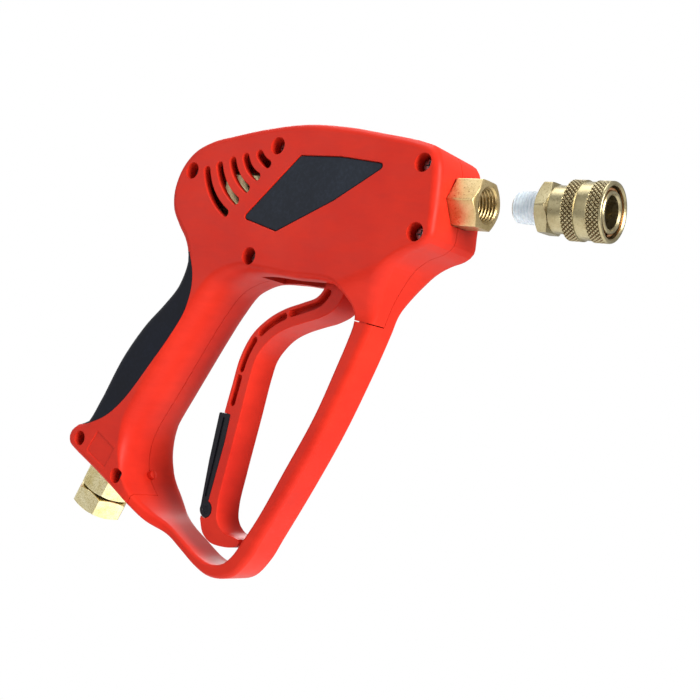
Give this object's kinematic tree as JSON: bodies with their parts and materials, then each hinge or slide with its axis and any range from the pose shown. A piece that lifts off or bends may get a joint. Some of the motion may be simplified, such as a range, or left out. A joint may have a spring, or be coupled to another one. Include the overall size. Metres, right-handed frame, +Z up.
{
  "type": "pressure washer trigger gun",
  "caption": "Trigger gun of a pressure washer with hand guard, rubber back grip, swivelling hose inlet and a loose quick-connect coupler in front of the outlet.",
  "frame": {"origin": "middle of the hand grip, on the mid plane between the casing halves", "axes": "+X the way the jet leaves the outlet, +Z up, +Y to the gun's left"},
  "size_m": [0.2402, 0.034, 0.1898],
  "materials": {
    "casing_red": "moulded red nylon, fine satin texture",
    "trigger_red": "moulded red nylon, satin",
    "grip_rubber": "soft blue-black rubber, matt",
    "panel_black": "black textured inlay, matt",
    "lock_black": "black nylon, satin",
    "brass": "machined brass, satin",
    "bright_brass": "machined pale brass, bright",
    "steel": "stainless steel, drawn",
    "screw_steel": "blackened steel",
    "seal_rubber": "nitrile rubber, matt",
    "thread_sealant": "dried white thread sealant",
    "copper_ring": "copper-coloured spring wire"
  },
  "bodies": {
    "gun": {"casing_left": "casing_red", "casing_right": "casing_red", "grip_backstrap": "grip_rubber", "side_plate_left": "panel_black", "side_plate_right": "panel_black", "valve_body": "brass", "valve_rear_cap": "brass", "gland_nut": "brass", "outlet_fitting": "brass", "inlet_hex_fitting": "bright_brass", "valve_seat": "steel", "valve_spring": "steel", "outlet_tube": "steel", "inlet_tube": "steel", "swivel_retaining_ring": "steel", "trigger_pivot_pin": "steel", "casing_screw_head_rear": "screw_steel", "casing_screw_head_top": "screw_steel", "casing_screw_head_lower": "screw_steel", "casing_screw_nose_upper": "screw_steel", "casing_screw_nose_lower": "screw_steel", "casing_screw_heel_rear": "screw_steel", "casing_screw_heel_front": "screw_steel", "push_pin_o_ring": "seal_rubber", "swivel_o_ring": "seal_rubber"},
    "trigger": {"trigger": "trigger_red", "trigger_lock_pin": "steel"},
    "trigger_lock": {"trigger_lock": "lock_black"},
    "push_pin": {"push_pin": "steel"},
    "valve_ball": {"valve_ball": "steel"},
    "swivel_nut": {"inlet_swivel_nut": "bright_brass"},
    "coupler": {"coupler_body": "brass", "thread_sealant": "thread_sealant", "coupler_spring": "steel", "coupler_retaining_ring": "copper_ring", "coupler_o_ring": "seal_rubber"},
    "coupler_sleeve": {"coupler_sleeve": "brass"},
    "coupler_ball_1": {"coupler_ball_1": "steel"},
    "coupler_ball_2": {"coupler_ball_2": "steel"},
    "coupler_ball_3": {"coupler_ball_3": "steel"},
    "coupler_ball_4": {"coupler_ball_4": "steel"}
  },
  "joints": [
    {"name": "trigger_pull", "type": "hinge", "parent": "gun", "child": "trigger", "pos_m": [0.093, 0, 0.0704], "axis": [0, 1, 0], "range_deg": [0, 15], "stiffness_Nm_per_rad": 3, "springref_deg": -6.88},
    {"name": "push_pin_slide", "type": "slide", "parent": "gun", "child": "push_pin", "axis": [-1, 0, 0], "range_m": [0, 0.0027]},
    {"name": "valve_ball_slide", "type": "slide", "parent": "gun", "child": "valve_ball", "axis": [-1, 0, 0], "range_m": [0, 0.0027], "deforming": ["valve_spring"]},
    {"name": "trigger_lock_swing", "type": "hinge", "parent": "trigger", "child": "trigger_lock", "pos_m": [0.0461, 0, -0.0573], "axis": [0, 1, 0], "range_deg": [-78, 0]},
    {"name": "inlet_swivel", "type": "hinge", "parent": "gun", "child": "swivel_nut", "pos_m": [-0.02569, 0, -0.06713], "axis": [-0.3746, 0, -0.9272], "continuous": true},
    {"name": "coupler_slide", "type": "slide", "parent": "gun", "child": "coupler", "axis": [-1, 0, 0], "range_m": [0, 0.021]},
    {"name": "coupler_sleeve_pull", "type": "slide", "parent": "coupler", "child": "coupler_sleeve", "axis": [-1, 0, 0], "range_m": [0, 0.0018], "stiffness_N_per_m": 800, "springref_m": -0.002, "deforming": ["coupler_spring"]},
    {"name": "coupler_ball_slide_1", "type": "slide", "parent": "coupler", "child": "coupler_ball_1", "axis": [0, 0.7071, 0.7071], "range_m": [0, 0.0003]},
    {"name": "coupler_ball_slide_2", "type": "slide", "parent": "coupler", "child": "coupler_ball_2", "axis": [0, -0.7071, 0.7071], "range_m": [0, 0.0003]},
    {"name": "coupler_ball_slide_3", "type": "slide", "parent": "coupler", "child": "coupler_ball_3", "axis": [0, -0.7071, -0.7071], "range_m": [0, 0.0003]},
    {"name": "coupler_ball_slide_4", "type": "slide", "parent": "coupler", "child": "coupler_ball_4", "axis": [0, 0.7071, -0.7071], "range_m": [0, 0.0003]}
  ],
  "couplings": [
    {"joint": "push_pin_slide", "follows": "trigger_pull", "m_per_rad": 0.0098},
    {"joint": "valve_ball_slide", "follows": "trigger_pull", "m_per_rad": 0.0098},
    {"joint": "coupler_ball_slide_1", "follows": "coupler_sleeve_pull", "ratio": 0.15},
    {"joint": "coupler_ball_slide_2", "follows": "coupler_sleeve_pull", "ratio": 0.15},
    {"joint": "coupler_ball_slide_3", "follows": "coupler_sleeve_pull", "ratio": 0.15},
    {"joint": "coupler_ball_slide_4", "follows": "coupler_sleeve_pull", "ratio": 0.15}
  ]
}
